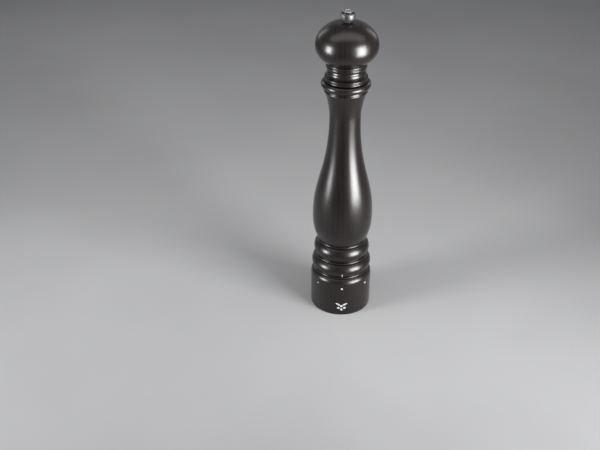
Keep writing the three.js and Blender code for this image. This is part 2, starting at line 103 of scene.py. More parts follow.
RING_WALL = 6.1
RING_SHOULDER = 8.0
RING_RIM = 1.2
RING_BORE = RING_R - RING_WALL
THREAD_SEAT = RING_BORE + 1.0
RING_PITCH = 2.1
RING_THREAD = 0.5
SPIGOT_R = RING_BORE - RUNNING - 0.2
CHAMBER_R = 14.0
NECK_R = CHAMBER_R + 4.95
COLLAR_BORE = COLLAR_R - 2.5
LOWER_BEAD_TOP = SEAM_BOTTOM + 21.0
UPPER_BEAD_TOP = LOWER_BEAD_TOP + 22.3
WAIST = UPPER_BEAD_TOP + 5.0
BELLY = WAIST + 32.9
NECK = BELLY + 135.6
COLLAR = BODY_TOP - 13.5
COLLAR_FLARE = 6.25
FLARE_PULL = 8.5
LISTEL_HEIGHT = 2.0
LISTEL_GROOVE = 0.8
FUNNEL_HEIGHT = 19.0
KEY_WIDTH = 5.0
KEY_DEPTH = 2.0
SHAFT_SIDE = 6.0
SHAFT_CORNER = SHAFT_SIDE / 2 * math.sqrt(2)
HOLE_SIDE = SHAFT_SIDE + 2 * TOUCH
THREAD_R = 2.4
TAIL_R = 3.0
SCREW_R = 1.2
BUSH_FLANGE = 2.0
ARM_WIDTH = 4.4
PILOT_DEPTH = 10
FEMALE_WALL = 4.7
HEAD_FOOT_R = DRIVE_R + RUNNING + 3.2
BALL_DROP = 25.4
BALL_RISE = 29.3
HEAD_NECK = 23.1
CROWN_BLEND = 18.0
CROWN_LIFT = 1.7
CROWN_FLAT_R = 8.0
CAP_EDGE = 0.9


# ---- Outlines ----

class Outline:
    """A turned outline, up the outside and down the inside."""

    def __init__(self, r, z):
        self.points = [(r, z)]

    def to(self, *pairs):
        self.points += pairs
        return self

    def curve(self, a, b, end, steps):
        start = self.points[-1]
        for i in range(1, steps + 1):
            t = i / steps
            k = ((1 - t) ** 3, 3 * (1 - t) ** 2 * t, 3 * (1 - t) * t ** 2, t ** 3)
            self.points.append(tuple(
                k[0] * start[n] + k[1] * a[n] + k[2] * b[n] + k[3] * end[n] for n in (0, 1)))
        return self

    def arc(self, r, z, across, up, start, end, steps):
        """An elliptical arc about (r, z), with its angles in degrees from +r."""
        for i in range(steps + 1):
            angle = math.radians(start + (end - start) * i / steps)
            self.points.append((r + across * math.cos(angle), z + up * math.sin(angle)))
        return self

    def bead(self, bottom, top, widest, foot=3.0, shoulder=7.2):
        """A full round, drawn in by foot at its lower edge and by shoulder at its upper edge."""
        handle = widest + (foot + shoulder) / 6
        lead = (top - bottom) * 0.25
        self.to((widest - foot, bottom))
        return self.curve((handle, bottom + lead), (handle, top - lead), (widest - shoulder, top), 28)

    def listel(self, bottom, radius):
        """A narrow band with a groove above it and below it."""
        top = bottom + LISTEL_HEIGHT
        groove, crown = radius - LISTEL_GROOVE, LISTEL_HEIGHT * 0.12
        self.to((groove, bottom), (radius - crown, bottom))
        self.curve((radius + crown, bottom + LISTEL_HEIGHT * 0.3),
                   (radius + crown, bottom + LISTEL_HEIGHT * 0.7), (radius - crown, top), 8)
        return self.to((groove, top))


def softened(points, size=0.35, closed=True):
    """Rounds off the corners of an outline, as sanding and lacquer do."""
    least_turn, most_of_side, steps = math.radians(18), 0.45, 4
    clean = [p for i, p in enumerate(points) if i == 0 or math.dist(p, points[i - 1]) > TINY]
    if closed and math.dist(clean[0], clean[-1]) < TINY:
        clean.pop()
    made = []
    for i, p in enumerate(clean):
        if not closed and i in (0, len(clean) - 1):
            made.append(p)
            continue
        here = Vector(p)
        back = Vector(clean[i - 1]) - here
        ahead = Vector(clean[(i + 1) % len(clean)]) - here
        turn = math.pi - back.angle(ahead)
        if turn < least_turn or p[0] < TINY:
            made.append(p)
            continue
        reach = min(size, back.length * most_of_side, ahead.length * most_of_side)
        a, b = here + back.normalized() * reach, here + ahead.normalized() * reach
        for n in range(steps + 1):
            t = n / steps
            made.append(tuple(a * (1 - t) ** 2 + here * 2 * t * (1 - t) + b * t ** 2))
    return made


# ---- Meshes ----

def obj_of(name, mesh):
    made = bpy.data.objects.new(name, mesh)
    bpy.context.scene.collection.objects.link(made)
    return made


def finish_mesh(bm, name, sharp=SHARP):
    merge_m = 1e-7
    bmesh.ops.remove_doubles(bm, verts=bm.verts, dist=merge_m)
    bmesh.ops.recalc_face_normals(bm, faces=bm.faces)
    mesh = bpy.data.meshes.new(name)
    bm.to_mesh(mesh)
    bm.free()
    mesh.shade_smooth()
    mesh.set_sharp_from_angle(angle=math.radians(sharp))
    return mesh


def lathe(name, points, segments=ROUND, sharp=SHARP):
    """A closed mesh turned about +Z."""
    bm = bmesh.new()
    solid = points[0][0] < TINY and points[-1][0] < TINY
    rings = []
    for r, z in points:
        if r < TINY:
            rings.append([bm.verts.new((0, 0, z * MM))] * segments)
            continue
        ring = []
        for i in range(segments):
            angle = 2 * math.pi * i / segments
            ring.append(bm.verts.new((r * math.cos(angle) * MM, r * math.sin(angle) * MM, z * MM)))
        rings.append(ring)
    pairs = list(zip(rings, rings[1:]))
    if not solid:
        pairs.append((rings[-1], rings[0]))
    for lower, upper in pairs:
        for i in range(segments):
            j = (i + 1) % segments
            corners = list(dict.fromkeys((lower[i], lower[j], upper[j], upper[i])))
            if len(corners) > 2:
                bm.faces.new(corners)
    return obj_of(name, finish_mesh(bm, name, sharp))


def extruded(name, outline, bottom, top, bevel):
    """A closed prism of a flat outline, with the edges of its two ends bevelled unless bevel is 0."""
    bm = bmesh.new()
    lower = [bm.verts.new((x * MM, y * MM, bottom * MM)) for x, y in outline]
    face = bm.faces.new(lower)
    raised = bmesh.ops.extrude_face_region(bm, geom=[face])["geom"]
    bmesh.ops.translate(bm, vec=(0, 0, (top - bottom) * MM),
                        verts=[v for v in raised if isinstance(v, bmesh.types.BMVert)])
    if bevel:
        level_m = 1e-9
        rims = [e for e in bm.edges if abs(e.verts[0].co.z - e.verts[1].co.z) < level_m]
        bmesh.ops.bevel(bm, geom=rims, offset=bevel * MM, segments=2, affect="EDGES", profile=0.5)
    return obj_of(name, finish_mesh(bm, name))


def block(name, x, y, bottom, top, place=0.0, turn=0.0, bevel=0.0):
    """A block moved out along +X by place, then turned about +Z."""
    corners = [(-x / 2, -y / 2), (x / 2, -y / 2), (x / 2, y / 2), (-x / 2, y / 2)]
    made = extruded(name, [(place + a, b) for a, b in corners], bottom, top, bevel)
    made.data.transform(Matrix.Rotation(turn, 4, "Z"))
    return made


def stub(name, r, bottom, top, place, turn, segments=24):
    """A round stub moved out along +X by place, then turned about +Z."""
    made = lathe(name, [(0, bottom), (r, bottom), (r, top), (0, top)], segments)
    made.data.transform(Matrix.Rotation(turn, 4, "Z") @ Matrix.Translation((place * MM, 0, 0)))
    return made


def combined(piece, others, how):
    """Joins others to piece, cuts them from it or keeps what they share, and leaves one mesh."""
    for other in others:
        step = piece.modifiers.new("made", "BOOLEAN")
        step.operation = how
        step.solver = "EXACT"
        step.object = other
    bpy.context.view_layer.update()
    graph = bpy.context.evaluated_depsgraph_get()
    mesh = bpy.data.meshes.new_from_object(piece.evaluated_get(graph))
    piece.modifiers.clear()
    piece.data = mesh
    mesh.shade_smooth()
    mesh.set_sharp_from_angle(angle=math.radians(SHARP))
    for other in others:
        bpy.data.objects.remove(other)


def cut(piece, *others):
    combined(piece, others, "DIFFERENCE")


def joined(piece, *others):
    combined(piece, others, "UNION")


def swept(name, points, radius):
    """A round wire along points, closed at both ends."""
    sides = 12
    bm = bmesh.new()
    rings = []
    for i, p in enumerate(points):
        ahead = points[min(i + 1, len(points) - 1)] - points[max(i - 1, 0)]
        along = ahead.normalized()
        out = Vector((p.x, p.y, 0)).normalized()
        out = (out - along * out.dot(along)).normalized()
        side = along.cross(out)
        rings.append([
            bm.verts.new((p + (out * math.cos(a) + side * math.sin(a)) * radius) * MM)
            for a in (2 * math.pi * n / sides for n in range(sides))])
    for lower, upper in zip(rings, rings[1:]):
        for n in range(sides):
            m = (n + 1) % sides
            bm.faces.new((lower[n], lower[m], upper[m], upper[n]))
    bm.faces.new(rings[0])
    bm.faces.new(rings[-1])
    return obj_of(name, finish_mesh(bm, name))


# ---- Materials ----

class Look:
    """A node-based material, with a short way to add and link nodes.

    A stretch says how much finer a texture is along x, y and z. Bump distances are in millimetres.
    """

    def __init__(self, name, **values):
        self.material = bpy.data.materials.new(name)
        self.material.use_nodes = True
        self.tree = self.material.node_tree
        self.shader = self.tree.nodes["Principled BSDF"]
        self.place = self.add("ShaderNodeTexCoord").outputs["Object"]
        for socket, value in values.items():
            self.shader.inputs[socket.replace("_", " ")].default_value = value

    def add(self, kind, **settings):
        node = self.tree.nodes.new(kind)
        for name, value in settings.items():
            setattr(node, name, value)
        return node

    def link(self, start, end):
        self.tree.links.new(start, end)

    def stretched(self, x, y, z):
        node = self.add("ShaderNodeMapping")
        self.link(self.place, node.inputs["Vector"])
        node.inputs["Scale"].default_value = (x, y, z)
        return node.outputs["Vector"]

    def noise(self, scale, detail, rough, stretch=(1, 1, 1), distortion=0.0):
        node = self.add("ShaderNodeTexNoise")
        self.link(self.stretched(*stretch), node.inputs["Vector"])
        for name, value in (("Scale", scale), ("Detail", detail), ("Roughness", rough),
                            ("Distortion", distortion)):
            node.inputs[name].default_value = value
        return node.outputs["Fac"]

    def cells(self, scale, stretch):
        node = self.add("ShaderNodeTexVoronoi")
        self.link(self.stretched(*stretch), node.inputs["Vector"])
        node.inputs["Scale"].default_value = scale
        return node.outputs["Distance"]

    def ramp(self, source, *stops):
        node = self.add("ShaderNodeValToRGB")
        marks = node.color_ramp.elements
        while len(marks) < len(stops):
            marks.new(0.5)
        for mark, (place, color) in zip(marks, stops):
            mark.position = place
            mark.color = (*color, 1)
        self.link(source, node.inputs["Fac"])
        return node.outputs["Color"]

    def spread(self, source, start, end, low_value, high_value):
        node = self.add("ShaderNodeMapRange")
        for name, value in (("From Min", start), ("From Max", end), ("To Min", low_value),
                            ("To Max", high_value)):
            node.inputs[name].default_value = value
        self.link(source, node.inputs["Value"])
        return node.outputs["Result"]

    def combine(self, how, a, b):
        node = self.add("ShaderNodeMath", operation=how)
        for socket, value in zip(node.inputs, (a, b)):
            if isinstance(value, (int, float)):
                socket.default_value = value
            else:
                self.link(value, socket)
        return node.outputs["Value"]

    def mix(self, factor, a, b):
        node = self.add("ShaderNodeMix", data_type="RGBA")
        self.link(factor, node.inputs["Factor"])
        for socket, value in ((node.inputs["A"], a), (node.inputs["B"], b)):
            if isinstance(value, tuple):
                socket.default_value = (*value, 1)
            else:
                self.link(value, socket)
        return node.outputs["Result"]

    def bump(self, height, distance, strength=1.0, under=None):
        node = self.add("ShaderNodeBump")
        node.inputs["Strength"].default_value = strength
        node.inputs["Distance"].default_value = distance * MM
        self.link(height, node.inputs["Height"])
        if under:
            self.link(under, node.inputs["Normal"])
        return node.outputs["Normal"]

    def color(self, source):
        self.link(source, self.shader.inputs["Base Color"])

    def roughness(self, source):
        self.link(source, self.shader.inputs["Roughness"])

    def normal(self, source):
        self.link(source, self.shader.inputs["Normal"])


def lacquered_wood(name, shift):
    """Dark stained wood, turned, under a satin lacquer. shift sets each piece's own cut of the grain."""
    look = Look(name, Coat_Weight=0.9, Coat_Roughness=0.28, Coat_IOR=1.44, Specular_IOR_Level=0.08)
    rings = look.add("ShaderNodeTexWave", wave_type="RINGS", rings_direction="Z", wave_profile="SAW")
    moved = look.add("ShaderNodeMapping")
    look.link(look.place, moved.inputs["Vector"])
    moved.inputs["Location"].default_value = (0.062 + shift * 0.011, 0.041 - shift * 0.007, shift)
    moved.inputs["Scale"].default_value = (1, 1, 0.12)
    look.link(moved.outputs["Vector"], rings.inputs["Vector"])
    for socket, value in (("Scale", 52), ("Distortion", 3.2), ("Detail", 3), ("Detail Scale", 1.4)):
        rings.inputs[socket].default_value = value
    fibres = look.noise(520, 4, 0.6, (1, 1, 0.035))
    grain = look.combine("ADD", look.combine("MULTIPLY", rings.outputs["Fac"], 0.5),
                         look.combine("MULTIPLY", fibres, 0.5))
    stain = look.ramp(grain, (0.18, (0.0016, 0.0010, 0.0009)), (0.5, (0.0036, 0.0022, 0.0019)),
                      (0.82, (0.0070, 0.0043, 0.0036)))
    patches = look.noise(16, 3, 0.55, (1, 1, 0.4))
    look.color(look.mix(look.spread(patches, 0.35, 0.7, 0.0, 0.45), stain, (0.0052, 0.0028, 0.0023)))
    pores = look.spread(look.cells(950, (1, 1, 0.07)), 0.0, 0.22, 0.0, 1.0)
    turning = look.noise(1.0, 5, 0.62, (14, 14, 900))
    ripple = look.noise(1.0, 2, 0.5, (9, 9, 210))
    peel = look.noise(260, 2, 0.5)
    look.roughness(look.spread(look.combine("ADD", peel, turning), 0.6, 1.4, 0.24, 0.36))
    under = look.bump(turning, 0.012)
    under = look.bump(ripple, 0.035, 1.0, under)
    under = look.bump(pores, 0.02, 0.5, under)
    under = look.bump(peel, 0.02, 0.6, under)
    look.normal(under)
    fine = look.bump(ripple, 0.03)
    fine = look.bump(turning, 0.006, 1.0, fine)
    fine = look.bump(peel, 0.012, 0.6, fine)
    look.link(fine, look.shader.inputs["Coat Normal"])
    return look.material


def bare_wood():
    """Unlacquered end grain and bore, stained dark by use."""
    look = Look("bare_wood")
    fibres = look.noise(700, 4, 0.6, (1, 1, 0.06))
    dust = look.noise(120, 4, 0.6)
    stain = look.ramp(fibres, (0.25, (0.020, 0.011, 0.007)), (0.75, (0.058, 0.034, 0.021)))
    look.color(look.mix(look.spread(dust, 0.45, 0.75, 0.0, 0.5), stain, (0.075, 0.052, 0.036)))
    look.roughness(look.spread(fibres, 0.2, 0.8, 0.62, 0.82))
    look.normal(look.bump(fibres, 0.05, 0.7))
    return look.material


def turned_metal(name, color, rough, groove=0.006):
    """Metal turned on a lathe: fine rings round the axis, with a little haze and handling."""
    wear = 0.06
    look = Look(name, Metallic=1.0)
    rings = look.noise(1.0, 4, 0.7, (30, 30, 5200))
    haze = look.noise(90, 4, 0.6)
    dark = tuple(c * 0.78 for c in color)
    look.color(look.ramp(look.combine("ADD", look.combine("MULTIPLY", haze, 0.6),
                                      look.combine("MULTIPLY", rings, 0.4)),
                         (0.3, dark), (0.62, color)))
    look.roughness(look.spread(look.combine("ADD", haze, rings), 0.6, 1.4, rough - wear, rough + wear))
    look.normal(look.bump(rings, groove))
    return look.material


def knob_metal_painted_sheen():
    """Plated metal with fine upright grooves. Its colour is painted reflection: dark, with fine pale
    upright streaks that stand in for the streaky sheen.
    """
    look = Look("knob_metal_painted_sheen", Metallic=1.0)
    streaks = look.noise(1.0, 4, 0.7, (2600, 2600, 60))
    haze = look.noise(180, 4, 0.6)
    tone = look.combine("ADD", look.combine("MULTIPLY", haze, 0.35),
                        look.combine("MULTIPLY", streaks, 0.65))
    # The dark-to-pale streaked colour is painted reflection of the knob's streaky sheen. The bump from the
    # same streaks gives the real fine grooves.
    look.color(look.ramp(tone, (0.38, (0.025, 0.025, 0.027)), (0.50, (0.085, 0.085, 0.087)),
                         (0.62, (0.22, 0.22, 0.218))))
    look.roughness(look.spread(haze, 0.3, 0.7, 0.48, 0.60))
    look.normal(look.bump(streaks, 0.03))
    return look.material


def sheet_metal(name, color, rough):
    """Rolled or drawn metal, with a fine straight grain."""
    look = Look(name, Metallic=1.0)
    grain = look.noise(1.0, 4, 0.65, (3200, 60, 60))
    haze = look.noise(70, 3, 0.6)
    look.color(look.ramp(look.combine("ADD", look.combine("MULTIPLY", haze, 0.5),
                                      look.combine("MULTIPLY", grain, 0.5)),
                         (0.3, tuple(c * 0.72 for c in color)), (0.65, color)))
    look.roughness(look.spread(haze, 0.3, 0.7, rough - 0.06, rough + 0.08))
    look.normal(look.bump(grain, 0.008))
    return look.material


def burr_metal():
    """Hardened steel, dark and grainy, with brighter worn crests."""
    look = Look("burr_metal", Metallic=1.0)
    grit = look.noise(900, 5, 0.7)
    scale = look.noise(60, 4, 0.6)
    base = look.ramp(scale, (0.3, (0.075, 0.070, 0.066)), (0.7, (0.20, 0.19, 0.18)))
    look.color(look.mix(look.spread(grit, 0.5, 0.8, 0.0, 0.6), base, (0.34, 0.33, 0.31)))
    look.roughness(look.spread(grit, 0.3, 0.7, 0.34, 0.56))
    look.normal(look.bump(grit, 0.03, 0.8))
    return look.material


def moulded(name, dark, light, rough):
    """Moulded plastic with a fine spark texture and faint flow marks."""
    look = Look(name, Specular_IOR_Level=0.5)
    spark = look.noise(1700, 3, 0.6)
    flow = look.noise(35, 4, 0.55, (1, 1, 0.3), 1.5)
    look.color(look.ramp(flow, (0.3, dark), (0.7, light)))
    look.roughness(look.spread(look.combine("ADD", spark, flow), 0.7, 1.3, rough - 0.08, rough + 0.1))
    look.normal(look.bump(spark, 0.02, 0.6))
    return look.material


def ink():
    """Pale metallic print, a little uneven where it lies on the lacquer."""
    look = Look("print_ink", Metallic=0.25)
    grain = look.noise(1500, 4, 0.6)
    look.color(look.ramp(grain, (0.3, (0.30, 0.305, 0.31)), (0.7, (0.46, 0.465, 0.47))))
    look.roughness(look.spread(grain, 0.3, 0.7, 0.32, 0.48))
    look.normal(look.bump(grain, 0.006))
    return look.material


LOOKS = {
    "ring_wood": lacquered_wood("ring_wood", 0.7),
    "body_wood": lacquered_wood("body_wood", 0.0),
    "head_wood": lacquered_wood("head_wood", 1.9),
    "bare_wood": bare_wood(),
    "knob_metal_painted_sheen": knob_metal_painted_sheen(),
    "cap_metal": turned_metal("cap_metal", (0.50, 0.50, 0.49), 0.36),
    # near-black metal that paints the shade in the narrow groove between the knob's cap and the knob's lip
    "painted_groove_shade": turned_metal("painted_groove_shade", (0.022, 0.022, 0.024), 0.55),
    "plain_steel": sheet_metal("plain_steel", (0.60, 0.59, 0.58), 0.3),
    "shaft_steel": turned_metal("shaft_steel", (0.58, 0.58, 0.57), 0.26, 0.01),
    "spring_steel": turned_metal("spring_steel", (0.42, 0.42, 0.43), 0.28),
    "burr_metal": burr_metal(),
    "black_nylon": moulded("black_nylon", (0.010, 0.010, 0.011), (0.019, 0.019, 0.021), 0.5),
    "pale_plastic": moulded("pale_plastic", (0.60, 0.57, 0.48), (0.74, 0.71, 0.62), 0.42),
    "print_ink": ink(),
}


def placed(piece, body, look, *nodes):
    """Gives a piece its material, its body and the nodes that it stands for."""
    piece.data.materials.clear()
    piece.data.materials.append(LOOKS[look])
    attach(piece, body)
    if nodes:
        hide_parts(*nodes)


def faces_in(piece, look, inside):
    """Gives a second look to the faces that inside(r, z) picks, in millimetres."""
    piece.data.materials.append(LOOKS[look])
    for face in piece.data.polygons:
        c = face.center / MM
        if inside(math.hypot(c.x, c.y), c.z):
            face.material_index = 1


# ---- Wooden pieces ----

def plate_screw_place():
    return (low("bearing_plate_screw_1").x + high("bearing_plate_screw_1").x) / 2


def drive_screw_place():
    return (low("drive_plate_screw_1").x + high("drive_plate_screw_1").x) / 2


def pilot(face, place, turn):
    """The cutter of a screw's pilot hole, up from a face of the wood."""
    return stub("pilot", SCREW_R + TOUCH, face - 1, face + PILOT_DEPTH, place, turn)


def make_ring():
    edge = 0.8
    groove = SPIGOT_R + 1.8
    seat_top = 20.0
    place = RING_R - RING_SHOULDER
    turn = math.acos((RING_BORE + RING_RIM - place) / RING_SHOULDER)
    line = Outline(RING_R - edge, 0).to((RING_R - 0.25, 0.2), (RING_R, edge))
    line.arc(place, RING_TOP - RING_SHOULDER * math.sin(turn), RING_SHOULDER, RING_SHOULDER,
             0, math.degrees(turn), 20)
    line.to((RING_BORE, RING_TOP), (RING_BORE, CLIP_HIGH + SEAM), (groove, CLIP_HIGH + SEAM),
            (groove, CLIP_LOW - SEAM), (RING_BORE, CLIP_LOW - SEAM), (RING_BORE, seat_top),
            (THREAD_SEAT, seat_top), (THREAD_SEAT, edge), (THREAD_SEAT + edge, 0))
    ring = lathe("selector_ring_wood", softened(line.points))
    placed(ring, "selector", "ring_wood", "selector_ring")
    faces_in(ring, "bare_wood", lambda r, z: r < RING_BORE + 2 and z < RING_TOP - 1)


def body_outline():
    """The outside of the body, from the seam over the ring up to the mouth."""
    lower, upper, waist = RING_R - 1.2, RING_R - 3.7, RING_R - 8.0
    line = Outline(SPIGOT_R, SEAM_BOTTOM)
    line.listel(SEAM_BOTTOM, lower - 2.5)
    line.bead(SEAM_BOTTOM + 3.2, LOWER_BEAD_TOP - 0.5, lower)
    line.listel(LOWER_BEAD_TOP + 0.5, upper - 0.8)
    line.bead(LOWER_BEAD_TOP + 3.2, UPPER_BEAD_TOP - 0.5, upper)
    line.listel(UPPER_BEAD_TOP + 0.5, waist + 0.5)
    line.to((waist, WAIST - 1.5))
    line.curve((waist + (BELLY_R - waist) * 0.8, WAIST + 9.9), (BELLY_R, BELLY - 14.8),
               (BELLY_R, BELLY), 30)
    line.curve((BELLY_R, BELLY + 47), (NECK_R, NECK - 72.5), (NECK_R, NECK), 80)
    flare = NECK_R + COLLAR_FLARE
    line.curve((NECK_R, NECK + FLARE_PULL), (NECK_R + COLLAR_FLARE / 2, COLLAR - FLARE_PULL),
               (flare, COLLAR), 36)
    line.listel(COLLAR + TOUCH, flare + 1)
    line.bead(COLLAR + 4.6, BODY_TOP - 0.1, HEAD_FOOT_R + 5.5, 4.5, 2.6)
    return line.to((HEAD_FOOT_R + 0.6, BODY_TOP))


def make_body():
    outer = body_outline()
    mouth = COLLAR_R + TOUCH
    clip_in = SPIGOT_R - 1.7
    funnel_foot = WELL_R - 5
    line = Outline(SPIGOT_R, SPIGOT_END).to(
        (SPIGOT_R, CLIP_LOW - TOUCH), (clip_in, CLIP_LOW - TOUCH),
        (clip_in, CLIP_HIGH + TOUCH), (SPIGOT_R, CLIP_HIGH + TOUCH))
    line.to(*outer.points)
    line.to((mouth, BODY_TOP), (mouth, COLLAR_FOOT - TOUCH), (CHAMBER_R, COLLAR_FOOT - TOUCH),
            (CHAMBER_R, WELL_TOP + FUNNEL_HEIGHT), (funnel_foot, WELL_TOP), (WELL_R, WELL_TOP),
            (WELL_R, SPIGOT_END))
    body = lathe("body_wood_turning", softened(line.points))
    deep, key_top = 6, CARRIER_TOP + 1.1
    middle = WELL_R + KEY_DEPTH + RUNNING - deep / 2
    keyways = [block("keyway", deep, KEY_WIDTH + 2 * RUNNING, SPIGOT_END - 1, key_top, middle, t)
               for t in THIRDS]
    pilots = [pilot(WELL_TOP, plate_screw_place(), t) for t in THIRDS]
    cut(body, *keyways, *pilots)
    placed(body, "barrel", "body_wood", "mill_body")
    faces_in(body, "bare_wood", lambda r, z: r < inner_wood(z))


def inner_wood(z):
    """The radius inside which the body's wood is bare."""
    if z < SEAM_BOTTOM:
        return SPIGOT_R + 1
    if z < WELL_TOP + FUNNEL_HEIGHT:
        return WELL_R + 0.5
    return COLLAR_R + 1 if z > COLLAR_FOOT - 1 else CHAMBER_R + 0.5


def make_head():
    """The head's outline goes up its neck bands and ball to the crown, then down its bores."""
    foot = HEAD_FOOT_R
    neck_top = HEAD_FOOT + HEAD_NECK
    centre = neck_top + BALL_DROP * math.sqrt(1 - (foot / BALL_R) ** 2)
    start = -math.degrees(math.asin((centre - neck_top) / BALL_DROP))
    end = math.degrees(math.acos(CROWN_BLEND / BALL_R))
    blend = CROWN - CROWN_LIFT
    across = CROWN_BLEND - CROWN_FLAT_R
    recess = DRIVE_HIGH + TOUCH
    bore = DRIVE_R + RUNNING
    stud_hole, shaft_hole, step = THREAD_R + 0.8, SHAFT_CORNER + 0.6, CROWN - 8
    line = Outline(foot, HEAD_FOOT)
    line.listel(HEAD_FOOT + 0.3, foot + 1.4)
    line.listel(HEAD_FOOT + 3.5, foot + 1.4)
    line.bead(HEAD_FOOT + 6.4, HEAD_FOOT + 12.6, foot - 1, 1, 1)
    line.to((foot - 2.4, HEAD_FOOT + 14.4))
    line.listel(HEAD_FOOT + 16.8, foot)
    line.listel(HEAD_FOOT + 20.1, foot)
    line.arc(0, centre, BALL_R, BALL_DROP, start, 0, 36)
    line.arc(0, centre, BALL_R, BALL_RISE, 1, end, 60)
    line.curve((CROWN_BLEND - across * 0.25, blend + CROWN_LIFT * 0.65),
               (CROWN_FLAT_R + across * 0.4, CROWN), (CROWN_FLAT_R, CROWN), 20)
    line.to((stud_hole, CROWN), (stud_hole, step), (shaft_hole, step), (shaft_hole, recess),
            (bore, recess), (bore, HEAD_FOOT))
    head = lathe("head_wood_turning", softened(line.points))
    cut(head, *[pilot(recess, drive_screw_place(), t) for t in THIRDS])
    placed(head, "head", "head_wood", "mill_head")
    above_pilots = recess + PILOT_DEPTH + 1
    faces_in(head, "bare_wood",
             lambda r, z: r < SHAFT_CORNER + 1 or (r < bore + 0.6 and z < above_pilots))


# ---- Printed marks ----

def radius_on(outline, z):
    """The radius of an outline's outside at a height."""
    for (r0, z0), (r1, z1) in zip(outline, outline[1:]):
        if z0 <= z <= z1 and z1 > z0:
            return r0 + (r1 - r0) * (z - z0) / (z1 - z0)
    return outline[-1][0]


def printed(name, shape, azimuth, height, radius_at, body):
    """A thin print of a flat shape, wrapped on a turned surface."""
    lift, sink, rings = 0.05, 0.25, 4
    bm = bmesh.new()

    def point(u, v, out):
        r = radius_at(height + v) + out
        angle = azimuth + u / r
        return bm.verts.new((r * math.cos(angle) * MM, r * math.sin(angle) * MM, (height + v) * MM))

    def sheet(out):
        levels = [[point(0, 0, out)] * len(shape)]
        for n in range(1, rings + 1):
            levels.append([point(u * n / rings, v * n / rings, out) for u, v in shape])
        for inner, outer in zip(levels, levels[1:]):
            for i in range(len(shape)):
                j = (i + 1) % len(shape)
                bm.faces.new(list(dict.fromkeys((inner[i], outer[i], outer[j], inner[j]))))
        return levels[-1]

    front, back = sheet(lift), sheet(-sink)
    for i in range(len(shape)):
        j = (i + 1) % len(shape)
        bm.faces.new((front[i], back[i], back[j], front[j]))
    placed(obj_of(name, finish_mesh(bm, name)), body, "print_ink")


def dot(size):
    steps = 32
    return [(size / 2 * math.cos(2 * math.pi * i / steps), size / 2 * math.sin(2 * math.pi * i / steps))
            for i in range(steps)]


def pill(across, up):
    """An upright bar with round ends."""
    steps = 12
    r, straight = across / 2, (up - across) / 2
    top = [(r * math.cos(math.pi * i / steps), straight + r * math.sin(math.pi * i / steps))
           for i in range(steps + 1)]
    return top + [(-x, -y) for x, y in top]


def leaf_shape(side, length, width, rise):
    """A pointed leaf about its middle, tilted up towards its outer end."""
    steps = 12
    edge = [(i / steps, 1) for i in range(steps + 1)]
    edge += [(i / steps, -1) for i in range(steps - 1, 0, -1)]
    return [(side * (t - 0.5) * length, (t - 0.5) * length * rise + bow * width / 2 * math.sin(math.pi * t))
            for t, bow in edge]


def printed_on_ring(name, shape, azimuth, height):
    printed(name, shape, azimuth, height, lambda z: RING_R, "selector")


def make_marks():
    """Six dots that grow towards the coarse end, the index mark, and a small plain ornament."""
    steps_up, steps_down = 2, 3
    pitch = math.radians(360 / 7)
    front_size, growth, dot_height = 2.6, 0.35, 42.0
    for i in range(-steps_down, steps_up + 1):
        printed_on_ring(f"setting_dot_{i + steps_down + 1}", dot(front_size + growth * i),
                        FRONT + i * pitch, dot_height)
    outline = body_outline().points
    index_height = 61.2
    printed("index_mark", pill(1.6, 5.2), FRONT, index_height, lambda z: radius_on(outline, z), "barrel")
    ornament_height, berry, reach = 12.6, 3.4, 4.4
    for i, (x, z) in enumerate(((-4.0, -1.2), (0.0, 1.6), (4.0, -1.2), (0.0, -3.6))):
        printed_on_ring(f"ornament_dot_{i + 1}", dot(berry), FRONT + x / RING_R, ornament_height + z)
    for side, word in ((-1, "left"), (1, "right")):
        printed_on_ring("ornament_leaf_" + word, leaf_shape(side, 7.4, 2.9, 0.5),
                        FRONT + side * reach / RING_R, ornament_height + reach)


# ---- Knob ----

def make_knob():
    bore, neck = THREAD_R + 0.4, 4.6
    bore_top, rim = KNOB_FOOT + 6.2, KNOB_FOOT + 6.5
    lip = CAP_R + TOUCH
    floor = CAP_LOW - TOUCH
    edge = CAP_LOW + CAP_EDGE
    line = Outline(0, bore_top).to((bore, bore_top), (bore, KNOB_FOOT), (neck, KNOB_FOOT))
    line.curve((KNOB_R - 0.6, KNOB_FOOT + 0.5), (KNOB_R, rim - 3), (KNOB_R, rim), 24)
    line.curve((KNOB_R, rim + 1.6), (lip + 1.4, edge - 0.2), (lip + 0.6, edge), 16)
    line.to((lip, edge), (lip, floor), (0, floor))
    knob = lathe("knob_turning", softened(line.points, 0.18, closed=False), SMALL)
    placed(knob, "knob", "knob_metal_painted_sheen", "knob")


